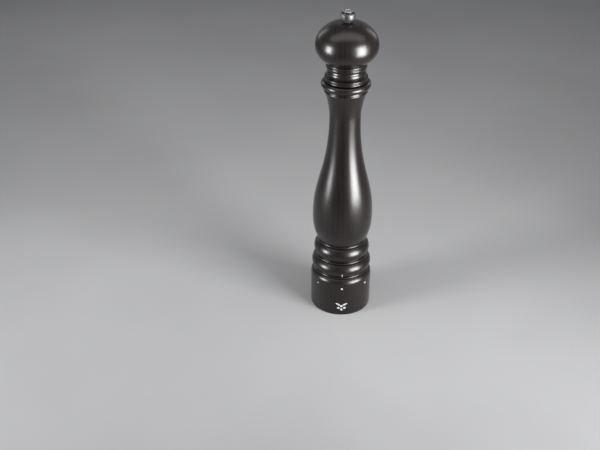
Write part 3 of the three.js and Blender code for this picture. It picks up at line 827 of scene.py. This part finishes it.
def make_cap():
    """The disc set in the knob, with a plain flower of beads sunk in its flat top, and painted shade on its
    side.
    """
    flat, sink = 4.9, 0.45
    line = Outline(0, CAP_LOW).to((CAP_R, CAP_LOW), (CAP_R, CAP_LOW + CAP_EDGE))
    line.curve((CAP_R, CAP_HIGH - 0.6), (CAP_R - 0.5, CAP_HIGH), (flat, CAP_HIGH), 14)
    line.to((flat - 0.35, CAP_HIGH), (flat - 0.6, CAP_HIGH - sink), (0, CAP_HIGH - sink))
    cap = lathe("knob_cap_disc", softened(line.points, 0.12, closed=False), SMALL)
    beads, petals, rise = [], 8, 0.42
    for i in range(petals + 1):
        r, size, along, across = (2.9, 1.0, 1.15, 0.85) if i else (0.0, 1.25, 1, 1)
        angle = 2 * math.pi * i / petals
        bm = bmesh.new()
        bmesh.ops.create_uvsphere(bm, u_segments=20, v_segments=12, radius=size * MM)
        bmesh.ops.scale(bm, vec=(along, across, rise / size), verts=bm.verts)
        bead = obj_of("bead", finish_mesh(bm, "bead"))
        here = (r * MM, 0, (CAP_HIGH - sink + 0.02) * MM)
        bead.data.transform(Matrix.Rotation(angle, 4, "Z") @ Matrix.Translation(here))
        beads.append(bead)
    joined(cap, *beads)
    placed(cap, "knob", "cap_metal", "knob_cap")
    # The cap's side and lower edge, down in the gap under the knob's lip, get near-black metal: painted
    # shade of that groove, not a darker metal.
    faces_in(cap, "painted_groove_shade", lambda r, z: r > flat and z < CAP_HIGH - 0.5)


def make_washer():
    foot, top, out = low("knob_washer").z, high("knob_washer").z, high("knob_washer").x
    bore = THREAD_R + 0.6
    points = [(out, foot), (out, top), (bore, top), (bore, foot)]
    washer = lathe("knob_washer_ring", softened(points, 0.25), SMALL)
    placed(washer, "washer", "black_nylon", "knob_washer")


# ---- Screws ----

def make_screw(node, body):
    """A pan-head screw with a slot and a cut thread, pointing up."""
    at = (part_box(node)[0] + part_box(node)[1]) / 2 / MM
    foot, tip = low(node).z, high(node).z
    seat, point = foot + 1.7, 2.0
    head_r, root = 2.3, SCREW_R - 0.32
    line = Outline(0, foot).to((1.5, foot + 0.05))
    line.curve((2.05, foot + 0.25), (head_r, foot + 0.8), (head_r, foot + 1.1), 6)
    line.to((head_r, seat), (SCREW_R, seat), (SCREW_R, seat + 1.5))
    pitch, z = 1.0, seat + 1.8
    while z + pitch < tip - point - 0.2:
        line.to((root, z), (root, z + pitch * 0.35), (SCREW_R, z + pitch * 0.6), (SCREW_R, z + pitch * 0.7))
        z += pitch
    line.to((root, tip - point), (0, tip))
    screw = lathe(node + "_cut", line.points, 24, 30)
    cut(screw, block("slot", 5.6, 0.8, foot - 1, foot + 0.85))
    turn = math.atan2(at.y, at.x) + math.copysign(0.35, at.x)
    screw.data.transform(Matrix.Translation((at.x * MM, at.y * MM, 0)) @ Matrix.Rotation(turn, 4, "Z"))
    placed(screw, body, "plain_steel", node)


# ---- Grinding works ----

def square(name, side, bottom, top):
    return block(name, side, side, bottom, top)


def make_thread_ring():
    foot, top, out = low("thread_ring").z, high("thread_ring").z, high("thread_ring").x
    bore, edge = out - 4.5, 0.6
    points = [(out, foot), (out, top), (bore + edge, top), (bore, top - edge)]
    root, z = bore + RING_THREAD, top - 1.4
    while z - RING_PITCH > foot + 0.4:
        points += [(bore, z), (root, z - RING_PITCH * 0.3), (root, z - RING_PITCH * 0.6),
                   (bore, z - RING_PITCH * 0.85)]
        z -= RING_PITCH
    points += [(bore, foot + edge), (bore + edge, foot)]
    ring = lathe("thread_ring_moulding", softened(points, 0.15))
    notches = [block("notch", 3.2, 3.0, foot - 1, foot + 1.6, bore + 2.9, t + math.pi / 6)
               for t in THIRDS + [a + math.pi / 3 for a in THIRDS]]
    cut(ring, *notches)
    placed(ring, "selector", "black_nylon", "thread_ring")


def make_collar():
    bore, top = COLLAR_BORE, high("mouth_collar").z
    points = [(COLLAR_R, COLLAR_FOOT), (COLLAR_R, top), (bore + 0.8, top), (bore, top - 0.9),
              (bore, COLLAR_FOOT + 0.7), (bore + 0.7, COLLAR_FOOT)]
    collar = lathe("mouth_collar_moulding", softened(points, 0.25))
    placed(collar, "barrel", "black_nylon", "mouth_collar")


def open_ring(node, name, inner, outer, gap, body, ears=0.0):
    """A spring clip with its gap towards +X. ears is the radius of the eyes at its ends, or 0."""
    foot, top = low(node).z, high(node).z
    steps, edge = 72, 0.12
    half = gap / 2 / outer
    angles = [half + (2 * math.pi - 2 * half) * i / steps for i in range(steps + 1)]
    outline = [(outer * math.cos(a), outer * math.sin(a)) for a in angles]
    outline += [(inner * math.cos(a), inner * math.sin(a)) for a in reversed(angles)]
    ring = extruded(name, outline, foot, top, edge)
    if ears:
        middle, from_end = (inner + outer) / 2, 2.4
        cut(ring, *[stub("eye", ears, foot - 1, top + 1, middle, side * (half + from_end / outer), 20)
                    for side in (-1, 1)])
    placed(ring, body, "spring_steel", node)


def spider(name, bore, hub, rim_inside, outside, bottom, thickness, arm):
    """A hub and a rim joined by three arms that widen to the rim."""
    top, edge, inset = bottom + thickness, 0.25, 0.01
    rim = lathe(name, softened([(outside, bottom), (outside, top), (rim_inside, top),
                                (rim_inside, bottom)], edge))
    middle = lathe("hub", softened([(hub, bottom), (hub, top), (bore, top), (bore, bottom)], edge), SMALL)
    start, end = hub - 0.5, rim_inside + 0.6
    near, far = arm * 0.5, arm * 0.62
    shape = [(start, -near), (end, -far), (end, far), (start, near)]
    arms = []
    for t in THIRDS:
        made = extruded("arm", shape, bottom + inset, top - inset, edge)
        made.data.transform(Matrix.Rotation(t, 4, "Z"))
        arms.append(made)
    joined(rim, middle, *arms)
    return rim


def make_bearing_plate():
    out = high("bearing_plate").x
    bore = high("bearing_bush").x - BUSH_FLANGE + RUNNING
    plate = spider("bearing_plate_pressing", bore, bore + 2.6, out - 4.5, out,
                   PLATE_BOTTOM, PLATE_TOP - PLATE_BOTTOM, ARM_WIDTH)
    holes = [stub("hole", SCREW_R + TOUCH, PLATE_BOTTOM - 1, PLATE_TOP + 1, plate_screw_place(), t)
             for t in THIRDS]
    cut(plate, *holes)
    placed(plate, "barrel", "plain_steel", "bearing_plate")


def make_bush():
    foot, top, flange = low("bearing_bush").z, high("bearing_bush").z, high("bearing_bush").x
    barrel, step = flange - BUSH_FLANGE, foot + 2
    points = [(0, foot), (flange, foot), (flange, step), (barrel, step), (barrel, top), (0, top)]
    bush = lathe("bearing_bush_moulding", softened(points, 0.3, closed=False), SMALL)
    cut(bush, square("hole", HOLE_SIDE, foot - 1, top + 1))
    placed(bush, "spindle", "pale_plastic", "bearing_bush")


def make_carrier():
    flange_r = high("burr_carrier").x
    flange_top = CARRIER_FOOT + 7
    sleeve = WELL_R - RUNNING
    seat = sleeve - 5.4
    mouth = seat - TOUCH - FEMALE_WALL + 1
    ledge = flange_top + 4
    edge, root = 0.5, flange_r - RING_THREAD
    points = [(flange_r - edge, CARRIER_FOOT), (flange_r, CARRIER_FOOT + edge)]
    z = CARRIER_FOOT + 0.9
    while z + RING_PITCH < flange_top - 0.3:
        points += [(flange_r, z), (root, z + RING_PITCH * 0.25), (root, z + RING_PITCH * 0.55),
                   (flange_r, z + RING_PITCH * 0.8)]
        z += RING_PITCH
    points += [(flange_r, flange_top - edge), (flange_r - edge, flange_top), (sleeve, flange_top),
               (sleeve, CARRIER_TOP), (seat, CARRIER_TOP), (seat, ledge), (mouth, ledge),
               (mouth, CARRIER_FOOT)]
    shell = lathe("burr_carrier_moulding", softened(points, 0.2))
    count, pocket_place = 12, 22.6
    cut(shell, *[block("pocket", 5.6, 5.0, CARRIER_FOOT - 1, CARRIER_FOOT + 3.5, pocket_place,
                       2 * math.pi * (i + 0.5) / count, 0.3) for i in range(count)])
    keys = [block("key", KEY_DEPTH + 1, KEY_WIDTH, CARRIER_TOP - 12, CARRIER_TOP - 0.05,
                  sleeve + KEY_DEPTH / 2 - 0.5, t, 0.25) for t in THIRDS]
    arms = spider("arms", TAIL_R + RUNNING, 6.0, mouth - 0.5, mouth + 1,
                  CARRIER_FOOT + 0.05, 3.95, ARM_WIDTH)
    joined(shell, *keys, arms)
    placed(shell, "carrier", "black_nylon", "burr_carrier")


def toothed(name, levels, inward=False):
    """A closed cone with twisted saw teeth. A level is a height, a crest radius, a depth and a twist."""
    teeth, per_tooth = 20, 8
    long_side, short_side = 0.72, 0.28
    places = teeth * per_tooth
    bm = bmesh.new()
    rings = []
    for z, crest, depth, twist in levels:
        ring = []
        for i in range(places):
            share = (i % per_tooth) / per_tooth
            drop = depth * min(share / long_side, (1 - share) / short_side)
            r = crest - depth + drop if inward else crest - drop
            a = 2 * math.pi * i / places + twist
            ring.append(bm.verts.new((r * math.cos(a) * MM, r * math.sin(a) * MM, z * MM)))
        rings.append(ring)
    for lower, upper in zip(rings, rings[1:]):
        for i in range(places):
            j = (i + 1) % places
            bm.faces.new((lower[i], lower[j], upper[j], upper[i]))
    for ring in (rings[0], rings[-1]):
        middle = bm.verts.new((0, 0, ring[0].co.z))
        for i in range(places):
            bm.faces.new((ring[i], ring[(i + 1) % places], middle))
    return obj_of(name, finish_mesh(bm, name, 25))


def between(levels):
    """More levels between the given ones, so that twisted teeth stay smooth."""
    steps = 5
    made = [levels[0]]
    for a, b in zip(levels, levels[1:]):
        made += [tuple(p + (q - p) * n / steps for p, q in zip(a, b)) for n in range(1, steps + 1)]
    return made


def make_female():
    foot, top, out = low("female_grinder").z, high("female_grinder").z, high("female_grinder").x
    mouth = out - FEMALE_WALL
    lip = foot - TOUCH + 5
    throat = mouth - 2
    depth = 0.7
    blank = [(0, foot), (out, foot), (out, top), (0, top)]
    ring = lathe("female_grinder_ring", softened(blank, 0.4, closed=False))
    bore = toothed("bore", between([
        (foot - 1, mouth + 0.5 + depth, depth, -0.06), (lip, throat + depth, depth, 0.10),
        (top + 0.2, out - 1.9, depth, 0.42), (top + 1, out - 1.6, depth, 0.45)]), inward=True)
    cut(ring, bore)
    placed(ring, "carrier", "burr_metal", "female_grinder")


def make_male():
    out = high("male_grinder").x
    throat = out - 2
    top = SHAFT_CORNER + 3
    foot = MALE_FOOT
    levels = [(foot, out - 1.2, 0.7, -0.05), (foot + 1, out, 0.7, 0.0), (foot + 3, out, 0.7, 0.12),
              (foot + 8, throat, 0.9, 0.32), (foot + 13.5, (throat + top) / 2, 1.6, 0.62),
              (MALE_TOP - 0.4, top, 1.0, 0.93), (MALE_TOP, top - 0.5, 0.9, 0.95)]
    cone = toothed("male_grinder_cone", between(levels))
    cut(cone, square("hole", HOLE_SIDE, foot - 1, MALE_TOP + 1))
    placed(cone, "spindle", "burr_metal", "male_grinder")


def make_shaft():
    foot, tail_top, shoulder = low("drive_shaft").z, low("grinder_clip").z - 1, CROWN - 10
    bar = block("drive_shaft_bar", SHAFT_SIDE, SHAFT_SIDE, tail_top, shoulder)
    corner = SHAFT_CORNER - 0.12
    edge = lathe("edge", [(0, tail_top - 1), (TAIL_R, tail_top - 1), (corner, tail_top + 0.8),
                          (corner, shoulder - 1.2), (THREAD_R + 0.2, shoulder + 1),
                          (0, shoulder + 1)], SMALL)
    combined(bar, [edge], "INTERSECT")
    tail = lathe("tail", [(0, foot), (TAIL_R - 0.5, foot), (TAIL_R, foot + 0.5), (TAIL_R, tail_top + 1),
                          (0, tail_top + 1)], SMALL)
    neck, root = THREAD_R - 0.3, THREAD_R - 0.35
    pitch, z = 0.8, shoulder + 1.2
    line = Outline(0, shoulder - 1).to((neck, shoulder - 1), (neck, z))
    while z + pitch < SHAFT_TOP - 0.5:
        line.to((THREAD_R, z + pitch * 0.4), (THREAD_R, z + pitch * 0.5), (root, z + pitch * 0.95),
                (root, z + pitch))
        z += pitch
    line.to((THREAD_R - 0.6, SHAFT_TOP), (0, SHAFT_TOP))
    stud = lathe("stud", line.points, 40, 25)
    joined(bar, tail, stud)
    grooves, groove_r = [], 2.9
    for clip in ("shaft_clip", "grinder_clip"):
        bottom, top = low(clip).z - TOUCH, high(clip).z + TOUCH
        points = [(groove_r, bottom), (SHAFT_SIDE, bottom), (SHAFT_SIDE, top), (groove_r, top)]
        grooves.append(lathe("groove", points, SMALL))
    cut(bar, *grooves)
    placed(bar, "spindle", "shaft_steel", "drive_shaft")


def make_spring():
    """A coil with closed, flattened end turns."""
    wire = 0.6
    foot, top = MALE_TOP + TOUCH + wire, low("shaft_clip").z - TOUCH - wire
    radius = SHAFT_CORNER + wire + 0.8
    turns, steps = 6, 48
    ends = 0.16  # the share of the wire in each closed end
    closed = 2 * wire * 0.95  # the height of a closed end
    points = []
    for i in range(turns * steps + 1):
        t = i / (turns * steps)
        angle = 2 * math.pi * turns * t
        rise = min(max((t - ends) / (1 - 2 * ends), 0), 1)
        z = foot + closed * min(t / ends, 1) + (top - foot - 2 * closed) * rise
        z += closed * max((t - 1 + ends) / ends, 0)
        points.append(Vector((radius * math.cos(angle), radius * math.sin(angle), z)))
    placed(swept("grinder_spring_coil", points, wire), "spindle", "spring_steel", "grinder_spring")


def make_drive_plate():
    hub_r, edge = COLLAR_BORE - RUNNING, 0.8
    inside = hub_r - 2
    flange, floor = DRIVE_HIGH - 2.4, DRIVE_LOW + 2.4
    points = [(0, DRIVE_LOW), (hub_r - 1.2, DRIVE_LOW), (hub_r - 0.35, DRIVE_LOW + 0.4),
              (hub_r, DRIVE_LOW + 1.3), (hub_r, flange), (DRIVE_R, flange), (DRIVE_R, DRIVE_HIGH),
              (inside, DRIVE_HIGH), (inside, floor + edge), (inside - edge, floor), (0, floor)]
    plate = lathe("drive_plate_pressing", softened(points, closed=False))
    holes = [stub("hole", SCREW_R + TOUCH, flange - 1, DRIVE_HIGH + 1, drive_screw_place(), t)
             for t in THIRDS]
    cut(plate, square("hole", HOLE_SIDE, DRIVE_LOW - 1, floor + 1), *holes)
    placed(plate, "head", "plain_steel", "drive_plate")


# ---- The whole mill ----

make_ring()
make_body()
make_head()
make_marks()
make_knob()
make_cap()
make_washer()
make_thread_ring()
make_collar()
open_ring("retaining_clip", "retaining_clip_ring", SPIGOT_R - 1.4, SPIGOT_R + 1.2, 9, "barrel", ears=0.55)
make_bearing_plate()
make_bush()
make_carrier()
make_female()
make_male()
make_shaft()
open_ring("shaft_clip", "shaft_clip_ring", 3.2, high("shaft_clip").y, 5, "spindle")
open_ring("grinder_clip", "grinder_clip_ring", 3.2, high("grinder_clip").y, 5, "spindle")
make_spring()
make_drive_plate()
for n in (1, 2, 3):
    make_screw(f"bearing_plate_screw_{n}", "barrel")
    make_screw(f"drive_plate_screw_{n}", "head")


# ---- Floor, light and camera ----

def make_floor():
    reach_m = 5.0
    bm = bmesh.new()
    bmesh.ops.create_circle(bm, cap_ends=True, radius=reach_m, segments=96)
    floor = obj_of("floor", finish_mesh(bm, "floor"))
    look = Look("floor_paper", Specular_IOR_Level=0.25)
    tone = look.noise(3.5, 3, 0.5)
    look.color(look.ramp(tone, (0.3, (0.28, 0.28, 0.284)), (0.7, (0.31, 0.31, 0.314))))
    grain = look.noise(900, 3, 0.6)
    look.roughness(look.spread(grain, 0.3, 0.7, 0.7, 0.85))
    look.normal(look.bump(grain, 0.04, 0.4))
    floor.data.materials.append(look.material)


def softbox(name, azimuth, distance, height, wide, tall, watts, aim, fan=180):
    """An area light round the mill, in metres, that points at a height of aim on its axis.

    The azimuth is in degrees from the front, positive to the right. The fan of its beam is in degrees.
    """
    data = bpy.data.lights.new(name, "AREA")
    data.shape = "RECTANGLE"
    data.size, data.size_y = wide, tall
    data.energy = watts
    data.spread = math.radians(fan)
    lamp = obj_of(name, data)
    angle = math.radians(azimuth)
    lamp.location = (distance * math.sin(angle), -distance * math.cos(angle), height)
    lamp.rotation_euler = (Vector((0, 0, aim)) - lamp.location).to_track_quat("-Z", "Y").to_euler()


def make_light():
    softbox("key_right", 50, 0.78, 0.36, 0.46, 0.66, 9.5, 0.36, 100)
    softbox("fill_left", -68, 1.05, 0.37, 0.32, 0.52, 6.2, 0.34, 110)
    softbox("rim_right", 138, 1.3, 0.72, 0.2, 0.7, 0.9, 0.36)
    softbox("rim_left", -142, 1.3, 0.72, 0.2, 0.7, 0.9, 0.36)
    softbox("overhead", 0, 0.25, 1.6, 3.0, 0.75, 13.0, 0.25)
    world = bpy.data.worlds.new("studio")
    world.use_nodes = True
    sky = world.node_tree.nodes["Background"].inputs
    sky["Color"].default_value = (0.8, 0.81, 0.83, 1)
    sky["Strength"].default_value = 0.3
    bpy.context.scene.world = world


def make_camera():
    """The camera stands a little left of the mill and looks down on it."""
    dip = 32.2
    data = bpy.data.cameras.new("camera")
    data.sensor_width = 36.0
    data.lens = 54.4
    data.shift_x = -0.0032
    camera = obj_of("camera", data)
    camera.location = (-0.0518, -0.9897, 0.7387)
    camera.rotation_euler = (math.radians(90 - dip), 0, 0)
    bpy.context.scene.camera = camera


make_floor()
make_light()
make_camera()
bpy.context.scene.view_settings.view_transform = "Standard"
